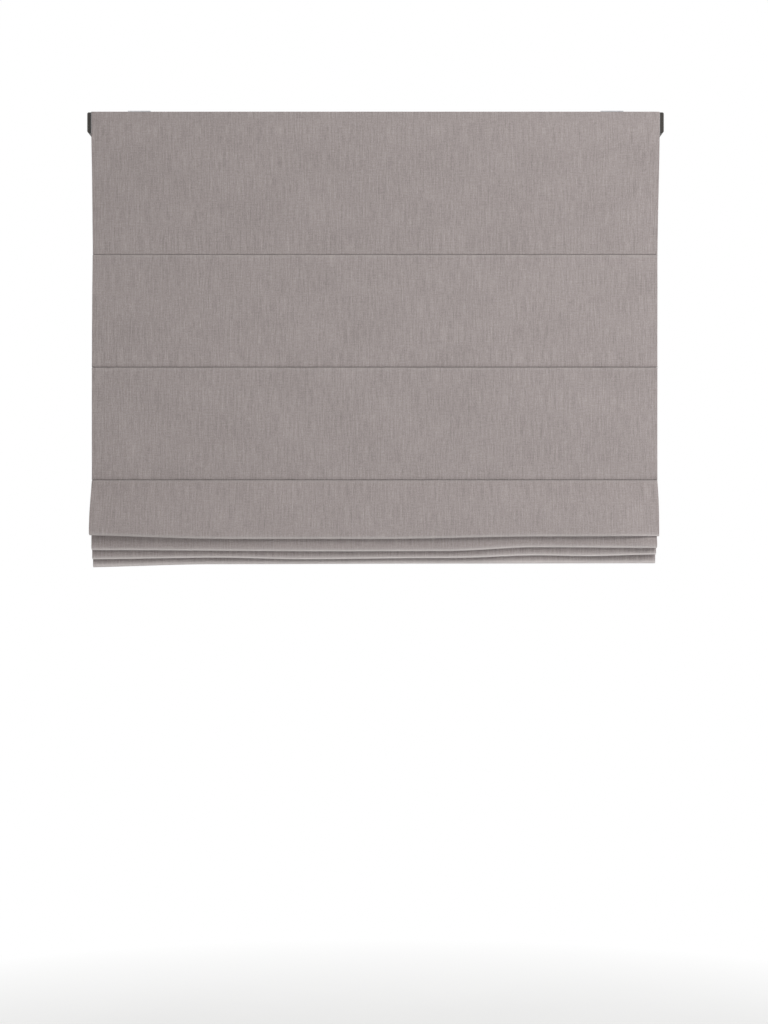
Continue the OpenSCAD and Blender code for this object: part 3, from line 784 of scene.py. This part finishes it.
cloth_finish, cloth_tree, cloth_shader = start_finish(
    "woven_taupe", Roughness=0.92, Specular_IOR_Level=0.15, Sheen_Weight=0.12, Sheen_Roughness=0.5)
cloth_map = add_node(cloth_tree, "ShaderNodeUVMap", uv_map="cloth_map").outputs["UV"]
thread_noise = {}
tone = 0.0
for name, (grain, fineness, share) in THREADS.items():
    thread_noise[name] = stretched_noise(cloth_tree, cloth_map, grain, fineness)
    tone = calc(cloth_tree, "ADD", calc(cloth_tree, "MULTIPLY", thread_noise[name], share), tone)

on_map = add_node(cloth_tree, "ShaderNodeSeparateXYZ", {0: cloth_map}).outputs
turns = 2 * math.pi / THREAD_PITCH
over = calc(cloth_tree, "SINE", calc(cloth_tree, "MULTIPLY", on_map["X"], turns))
under = calc(cloth_tree, "SINE", calc(cloth_tree, "MULTIPLY", on_map["Y"], turns))
weave = calc(cloth_tree, "MULTIPLY", over, under)
print("kinds of thread:", ", ".join(THREADS))

# %% Colour and relief of the taupe cloth, with painted highlight and painted shade
CLOTH_DARK = (0.165, 0.140, 0.135)
CLOTH_LIGHT = (0.525, 0.465, 0.452)
TONE_ENDS = (0.25, 0.75)
CLOTH_HIGHLIGHT = (0.72, 0.672, 0.655)
HIGHLIGHT_SHARE = 0.95
SEAM_SHADE_STRENGTH = 0.30
WEAVE_SHADE = 0.07
WEAVE_RELIEF = 0.35
CLOTH_RELIEF = 0.30 * MM
COLOUR_A, COLOUR_B, COLOUR_OUT = 6, 7, 2


def mark_times(mark_name, amount):
    mark = add_node(cloth_tree, "ShaderNodeAttribute", attribute_name=mark_name)
    return calc(cloth_tree, "MULTIPLY", mark.outputs["Fac"], amount)


woven = tone_ramp(cloth_tree, tone, CLOTH_DARK, CLOTH_LIGHT, *TONE_ENDS)
# The painted highlight mixes the cloth's colour towards a pale tone along the fold edges, the hem edge
# and the lips below the seams.
highlighted = add_node(cloth_tree, "ShaderNodeMix", {
    "Factor": mark_times("painted_highlight", HIGHLIGHT_SHARE),
    COLOUR_A: woven, COLOUR_B: (*CLOTH_HIGHLIGHT, 1)}, data_type="RGBA")
weave_shade = calc(cloth_tree, "ADD", calc(cloth_tree, "MULTIPLY", weave, WEAVE_SHADE), 1.0)
# Painted shade darkens the cloth's colour in the seams.
after_seam_shade = calc(cloth_tree, "SUBTRACT", 1.0, mark_times("sewn", SEAM_SHADE_STRENGTH))
lit = add_node(cloth_tree, "ShaderNodeVectorMath", {
    0: highlighted.outputs[COLOUR_OUT],
    "Scale": calc(cloth_tree, "MULTIPLY", weave_shade, after_seam_shade)}, operation="SCALE")
cloth_tree.links.new(lit.outputs[0], cloth_shader.inputs["Base Color"])
upright = calc(cloth_tree, "ADD", thread_noise["slub"], thread_noise["warp"])
height = calc(cloth_tree, "ADD", calc(cloth_tree, "MULTIPLY", weave, WEAVE_RELIEF), upright)
add_bump(cloth_tree, cloth_shader, height, CLOTH_RELIEF)
print("finish:", cloth_finish.name)

# %% [markdown]
# ## Hanging the cloth
# The top band stays on the headrail and each tuck goes with its rod. A hung panel goes with the rod or
# rail above it, and a fold's front layer goes with the rod it hangs from. A fold's back layer keeps its
# place and is tied to no body.

# %% Make the pieces and tie them to their bodies
cloth_pieces = {name: make_shell(name, cloth_finish) for name in stretches}
bodies_from_top = ["headrail"] + [f"rib_{k}" for k in range(1, ROD_COUNT + 1)]
FOLD_CLEAR = 0.5 * MM


def gather_with(piece, k):
    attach(piece, bodies_from_top[k - 1])
    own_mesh(piece)


def fold_ends(f):
    back = stretches[f"fold_{f + 1}_back"]
    highest_edge = edge_lift[f"fold_{f + 1}"].max() + back[0, 1]
    return highest_edge + FOLD_CLEAR, back[-1, 1] - FOLD_CLEAR


def open_with(piece, f, start, end):
    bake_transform(piece)


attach(cloth_pieces["top_band"], "headrail")
for k in range(1, HUNG + 1):
    gather_with(cloth_pieces[f"panel_{k}"], k)
for k in range(1, ROD_COUNT + 1):
    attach(cloth_pieces[f"tuck_{k}"], f"rib_{k}")
for f in range(ROD_COUNT - HUNG):
    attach(cloth_pieces[f"fold_{f + 1}_front"], f"rib_{HUNG + f}")
    open_with(cloth_pieces[f"fold_{f + 1}_back"], f, *fold_ends(f))
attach(cloth_pieces["hem_panel"], f"rib_{ROD_COUNT}")
print("cloth pieces:", len(cloth_pieces))


for name, piece in cloth_pieces.items():
    start, end = span(name)
    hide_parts("fabric")
print("declared", len(cloth_pieces), "sheets")

# %% [markdown]
# ## Stitches
# A row of lockstitch closes each tuck and the bar's pocket, and holds the side hems. There are thousands
# of stitches and they follow the cloth, so Geometry Nodes lay them: a row is a bare line of edges, the
# tree walks along it at the stitch's pitch and sets one small spindle of thread at each step. The same
# tree serves every row.

# %% Sewing thread
FLUFF = (0.6 * MM, 0.3 * MM, 0.3 * MM)
FLUFF_RELIEF = 0.05 * MM
THREAD_DARK = (0.33, 0.29, 0.28)
THREAD_LIGHT = (0.50, 0.45, 0.44)

thread_finish, thread_tree, thread_shader = start_finish(
    "sewing_thread", Roughness=0.7, Specular_IOR_Level=0.3)
fluff = stretched_noise(thread_tree, place_of(thread_tree), FLUFF)
thread_tone = tone_ramp(thread_tree, fluff, THREAD_DARK, THREAD_LIGHT)
thread_tree.links.new(thread_tone, thread_shader.inputs["Base Color"])
add_bump(thread_tree, thread_shader, fluff, FLUFF_RELIEF)
print("finish:", thread_finish.name)

# %% Start and end of a tree
def new_tree(name, sizes):
    tree = bpy.data.node_groups.new(name, "GeometryNodeTree")
    tree.interface.new_socket("Lines", in_out="INPUT", socket_type="NodeSocketGeometry")
    for size in sizes:
        tree.interface.new_socket(size, in_out="INPUT", socket_type="NodeSocketFloat")
    tree.interface.new_socket("Seed", in_out="INPUT", socket_type="NodeSocketInt")
    tree.interface.new_socket("Finish", in_out="INPUT", socket_type="NodeSocketMaterial")
    tree.interface.new_socket("Made", in_out="OUTPUT", socket_type="NodeSocketGeometry")
    return tree, add_node(tree, "NodeGroupInput").outputs


def close_tree(tree, given, geometry):
    real = add_node(tree, "GeometryNodeRealizeInstances", {"Geometry": geometry})
    dressed = add_node(tree, "GeometryNodeSetMaterial", {
        "Geometry": real.outputs[0], "Material": given["Finish"]})
    add_node(tree, "NodeGroupOutput", {"Made": dressed.outputs[0]})


def lines_as_curve(tree, given):
    return add_node(tree, "GeometryNodeMeshToCurve", {"Mesh": given["Lines"]}).outputs["Curve"]


print("tree helpers ready")

# %% Tree that lays stitches along lines
SPINDLE_SIDES = 6
SPINDLE_RINGS = 4
SHORTEST, LONGEST = 0.85, 1.08
FLOAT_MIN, FLOAT_MAX, FLOAT_OUT = 2, 3, 1

stitch_tree, given = new_tree("stitch_rows", ("Pitch", "Stitch length", "Thread radius"))
walk = add_node(stitch_tree, "GeometryNodeResampleCurve", {
    "Curve": lines_as_curve(stitch_tree, given), "Length": given["Pitch"]}, mode="LENGTH")
spots = add_node(stitch_tree, "GeometryNodeCurveToPoints", {
    "Curve": walk.outputs[0]}, mode="EVALUATED").outputs
turned = add_node(stitch_tree, "FunctionNodeAlignRotationToVector", {
    "Vector": spots["Tangent"]}, axis="Z")
spindle = add_node(stitch_tree, "GeometryNodeMeshUVSphere", {
    "Segments": SPINDLE_SIDES, "Rings": SPINDLE_RINGS, "Radius": 1.0})
stitch_size = add_node(stitch_tree, "ShaderNodeCombineXYZ", {
    "X": given["Thread radius"], "Y": given["Thread radius"],
    "Z": calc(stitch_tree, "MULTIPLY", given["Stitch length"], 0.5)})
wobble = add_node(stitch_tree, "FunctionNodeRandomValue", {
    FLOAT_MIN: SHORTEST, FLOAT_MAX: LONGEST, "Seed": given["Seed"]}, data_type="FLOAT")
uneven = add_node(stitch_tree, "ShaderNodeVectorMath", {
    0: stitch_size.outputs[0], "Scale": wobble.outputs[FLOAT_OUT]}, operation="SCALE")
laid = add_node(stitch_tree, "GeometryNodeInstanceOnPoints", {
    "Points": spots["Points"], "Instance": spindle.outputs["Mesh"],
    "Rotation": turned.outputs[0], "Scale": uneven.outputs[0]})
close_tree(stitch_tree, given, laid.outputs[0])
print("tree:", stitch_tree.name)

# %% Run a tree on a set of lines
def grow(name, tree, lines, finish, seed=0, closed=False, **sizes):
    points, edges = [], []
    for line in lines:
        first = len(points)
        points.extend(tuple(float(v) for v in point) for point in line)
        edges.extend((i, i + 1) for i in range(first, len(points) - 1))
        if closed:
            edges.append((len(points) - 1, first))
    mesh = bpy.data.meshes.new(name)
    mesh.from_pydata(points, edges, [])
    piece = add_object(name, mesh)
    modifier = piece.modifiers.new("grow", "NODES")
    modifier.node_group = tree
    key = {item.name: item.identifier for item in tree.interface.items_tree if item.in_out == "INPUT"}
    for size, value in sizes.items():
        modifier[key[size.replace("_", " ")]] = value
    modifier[key["Seed"]] = seed
    modifier[key["Finish"]] = finish
    ready = piece.evaluated_get(bpy.context.evaluated_depsgraph_get())
    grown = bpy.data.meshes.new_from_object(ready)
    piece.modifiers.remove(modifier)
    piece.data = grown
    grown.name = name
    grown.shade_smooth()
    return piece


print("ready to grow")

# %% Rows on the tucks, the pocket and the side hems
STITCH = {"Pitch": 3.6 * MM, "Stitch_length": 2.9 * MM, "Thread_radius": 0.28 * MM}
STITCH_INSET = 8 * MM
ROW_POINTS = 60
SEAM_DEPTH = 0.8 * MM
POCKET_ROW = 0.6
SIDE_ROW = 4 * MM
ROW_END = 14 * MM
SUNK = 0.05 * MM
SIDE_SEED = 10
HEM_SEED = 20
stitch_x = np.linspace(-half_w + STITCH_INSET, half_w - STITCH_INSET, ROW_POINTS)


def level_row(y, z):
    return [(x, y, z) for x in stitch_x]


def upright_row(name, side):
    first, last = row_of[name]
    column = int(np.argmin(np.abs(columns - side * (hem_line + SIDE_ROW))))
    keep = (along > along[first] + ROW_END) & (along < along[last] - ROW_END)
    points = back_side[keep, column]
    points[:, 1:] += outward[keep] * SUNK
    return points


stitch_rows = {}


def sew(name, lines, seed):
    stitch_rows[name] = grow(name, stitch_tree, lines, thread_finish, seed=seed, **STITCH)


seam_y = rib_y + LIP_R + SEAM_DEPTH
for k in range(ROD_COUNT):
    rows_here = [level_row(seam_y, rod_z[k] + side * (half_seam + CLOTH_T / 2)) for side in (1, -1)]
    sew(f"tuck_stitches_{k + 1}", rows_here, k)
    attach(stitch_rows[f"tuck_stitches_{k + 1}"], f"rib_{k + 1}")
for k in range(1, HUNG + 1):
    name = f"side_stitches_{k}"
    sew(name, [upright_row(f"panel_{k}", side) for side in (-1, 1)], SIDE_SEED + k)
    gather_with(stitch_rows[name], k)
sew("hem_stitches", [level_row(hem_y - CLOTH_T / 2, pocket_z + POCKET_TOP * POCKET_ROW)], HEM_SEED)
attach(stitch_rows["hem_stitches"], f"rib_{ROD_COUNT}")
print("stitch faces:", sum(len(piece.data.polygons) for piece in stitch_rows.values()))

# %% [markdown]
# ## Ring threads and lift cords
# Each ring is sewn to its tuck with a few turns of thread, and the three lift cords run down through the
# rings to a bead. Both are threads along a path, so a second small tree sweeps a round section along its
# lines. A cord is cut at the rings into runs, and each of the upper three runs goes with the rod or rail
# above it.

# %% Tree that sweeps a round section along lines
sweep_tree, given = new_tree("round_sweep", ("Thread radius", "Sides"))
section = add_node(sweep_tree, "GeometryNodeCurvePrimitiveCircle", {
    "Radius": given["Thread radius"], "Resolution": given["Sides"]}, mode="RADIUS")
swept = add_node(sweep_tree, "GeometryNodeCurveToMesh", {
    "Curve": lines_as_curve(sweep_tree, given), "Profile Curve": section.outputs["Curve"],
    "Fill Caps": True})
close_tree(sweep_tree, given, swept.outputs[0])
print("tree:", sweep_tree.name)

# %% Threads that hold the rings
THREAD_TURNS = 4
THREAD_STEP = 0.55 * MM
THREAD_R = 0.25 * MM
THREAD_SIDES = 6
THREAD_SQUEEZE = 0.8
TURN_SLANT = 0.3
TURN_POINTS = 14


def ring_turns(k):
    ring_low, ring_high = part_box(f"rings_{k}")
    wire_r = (ring_high.z - ring_low.z) / 2
    wire_y = ring_low.y + wire_r
    wire_z = (ring_low.z + ring_high.z) / 2
    cloth_y = rod_y + loop_r - CLOTH_T
    centre_y = (wire_y + wire_r + cloth_y) / 2
    reach_y = (wire_y + wire_r - cloth_y) / 2 + THREAD_R
    reach_z = wire_r + THREAD_R * THREAD_SQUEEZE
    turn = np.linspace(0, 2 * math.pi, TURN_POINTS, endpoint=False)
    loops = []
    for x in cord_x:
        for i in range(THREAD_TURNS):
            shift = (i - (THREAD_TURNS - 1) / 2) * THREAD_STEP
            loops.append(np.column_stack([
                np.full(TURN_POINTS, x + shift) + TURN_SLANT * THREAD_STEP * np.sin(turn),
                centre_y + reach_y * np.cos(turn),
                wire_z + reach_z * np.sin(turn)]))
    return loops


for k in range(1, ROD_COUNT + 1):
    threads = grow(f"ring_threads_{k}", sweep_tree, ring_turns(k), thread_finish, closed=True,
                   Thread_radius=THREAD_R, Sides=THREAD_SIDES)
    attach(threads, f"rib_{k}")
print("ring threads:", ROD_COUNT * len(cord_x) * THREAD_TURNS, "turns")

# %% Braided cord
BRAID_PITCH = 1.6 * MM
BRAID_RELIEF = 0.15 * MM
BRAID_DARK = (0.62, 0.60, 0.57)
BRAID_LIGHT = (0.86, 0.85, 0.82)

braid_finish, braid_tree, braid_shader = start_finish(
    "braided_cord", Roughness=0.75, Specular_IOR_Level=0.3)
on_cord = add_node(braid_tree, "ShaderNodeSeparateXYZ", {0: place_of(braid_tree)}).outputs
braid_turns = 2 * math.pi / BRAID_PITCH
round_cord = calc(braid_tree, "ADD", on_cord["X"], on_cord["Y"])
upward = calc(braid_tree, "MULTIPLY", on_cord["Z"], braid_turns)
sideways = calc(braid_tree, "MULTIPLY", round_cord, braid_turns)
one_way = calc(braid_tree, "SINE", calc(braid_tree, "ADD", upward, sideways))
other_way = calc(braid_tree, "SINE", calc(braid_tree, "SUBTRACT", upward, sideways))
strands = calc(braid_tree, "MULTIPLY", one_way, other_way)
strand_share = calc(braid_tree, "ADD", calc(braid_tree, "MULTIPLY", strands, 0.5), 0.5)
braid_tone = tone_ramp(braid_tree, strand_share, BRAID_DARK, BRAID_LIGHT, 0.0, 1.0)
braid_tree.links.new(braid_tone, braid_shader.inputs["Base Color"])
add_bump(braid_tree, braid_shader, strands, BRAID_RELIEF)
print("finish:", braid_finish.name)

# %% Runs of the three cords
CORD_SIDES = 10
CORD_STEP = 12 * MM
FEWEST_STEPS = 4

cord_low, cord_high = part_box("lift_cord_center")
cord_r = (cord_high.x - cord_low.x) / 2
cord_ends = [cord_high.z] + rod_z[:-1] + [cord_low.z]


def cord_run(upper, lower):
    count = max(FEWEST_STEPS, round((upper - lower) / CORD_STEP))
    return [[(x, cord_y, z) for z in np.linspace(upper, lower, count + 1)] for x in cord_x]


for k in range(1, ROD_COUNT + 1):
    upper, lower = cord_ends[k - 1], cord_ends[k]
    run = grow(f"cord_run_{k}", sweep_tree, cord_run(upper, lower), braid_finish,
               Thread_radius=cord_r, Sides=CORD_SIDES)
    if k <= HUNG:
        gather_with(run, k)
    else:
        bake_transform(run)
    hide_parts(*(f"lift_cord_{side}" for side in SIDES))
run_lengths = [round((cord_ends[i] - cord_ends[i + 1]) / MM) for i in range(ROD_COUNT)]
print("cord runs:", ROD_COUNT, "of", run_lengths, "mm")

# %% [markdown]
# ## Finishes of the rigid pieces
# The headrail is extruded aluminium with faint die lines along it. The brackets are zinc-plated steel,
# the caps and screws dark, and the mechanism is moulded in grey and white. Each finish is made of a noise
# in the direction in which the real piece was drawn, rolled or moulded, and goes to every node that the
# record gives that material.

# %% Metals
DIE_LINES = (120 * MM, 0.8 * MM, 0.8 * MM)
SPANGLE = (5 * MM, 5 * MM, 5 * MM)
BLACKING = (1 * MM, 1 * MM, 1 * MM)
FINE_DETAIL = 3.0
SMOOTHEST, ROUGHEST = 0.28, 0.46
METAL_BUMP = 0.3


def metal(name, dark, light, grain, depth):
    finish, tree, shader = start_finish(name, Metallic=1.0)
    streaks = stretched_noise(tree, place_of(tree), grain, FINE_DETAIL)
    tree.links.new(tone_ramp(tree, streaks, dark, light), shader.inputs["Base Color"])
    roughness = add_node(tree, "ShaderNodeMapRange", {
        "Value": streaks, "To Min": SMOOTHEST, "To Max": ROUGHEST})
    tree.links.new(roughness.outputs[0], shader.inputs["Roughness"])
    add_bump(tree, shader, streaks, depth, METAL_BUMP)
    return finish


aluminium = metal("drawn_aluminium", (0.40, 0.40, 0.41), (0.56, 0.56, 0.57), DIE_LINES, 0.03 * MM)
zinc = metal("zinc_plate", (0.46, 0.47, 0.49), (0.64, 0.65, 0.67), SPANGLE, 0.02 * MM)
black_zinc = metal("dark_screw", (0.035, 0.034, 0.033), (0.09, 0.088, 0.085), BLACKING, 0.03 * MM)
print("metals made")

# %% Plastics, rods and tape
FINE = (0.5 * MM, 0.5 * MM, 0.5 * MM)
FIBRES = (60 * MM, 0.4 * MM, 0.4 * MM)
NAP = (0.9 * MM, 0.9 * MM, 0.9 * MM)
MOULDED_BUMP = 0.35


def moulded(name, dark, light, grain, roughness, depth=0.04 * MM, **values):
    finish, tree, shader = start_finish(name, Roughness=roughness, **values)
    speckle = stretched_noise(tree, place_of(tree), grain, FINE_DETAIL)
    tree.links.new(tone_ramp(tree, speckle, dark, light), shader.inputs["Base Color"])
    add_bump(tree, shader, speckle, depth, MOULDED_BUMP)
    return finish


FINISHES = {
    "aluminium": aluminium,
    "steel": zinc,
    "dark_screw": black_zinc,
    "dark_plastic": moulded("dark_plastic", (0.022, 0.019, 0.016), (0.052, 0.046, 0.040), FINE, 0.5),
    "grey_plastic": moulded("grey_plastic", (0.16, 0.16, 0.165), (0.22, 0.22, 0.225), FINE, 0.45),
    "white_plastic": moulded("white_plastic", (0.80, 0.80, 0.78), (0.88, 0.88, 0.86), FINE, 0.4),
    "ring": moulded("ring_plastic", (0.74, 0.73, 0.70), (0.84, 0.83, 0.80), FINE, 0.3),
    "rod": moulded("glass_fibre_rod", (0.70, 0.70, 0.66), (0.82, 0.82, 0.79), FIBRES, 0.45),
    "tape": moulded("woven_tape", (0.55, 0.54, 0.52), (0.80, 0.79, 0.77), NAP, 0.95,
                    depth=0.4 * MM, Sheen_Weight=0.3),
    "cord": braid_finish,
    "cloth": cloth_finish,
}
for part in frame["record"]["subparts"]:
    node = nodes[part["node"]]
    node.data.materials.clear()
    node.data.materials.append(FINISHES[part["material_slot"]])
print("finished nodes:", len(nodes))
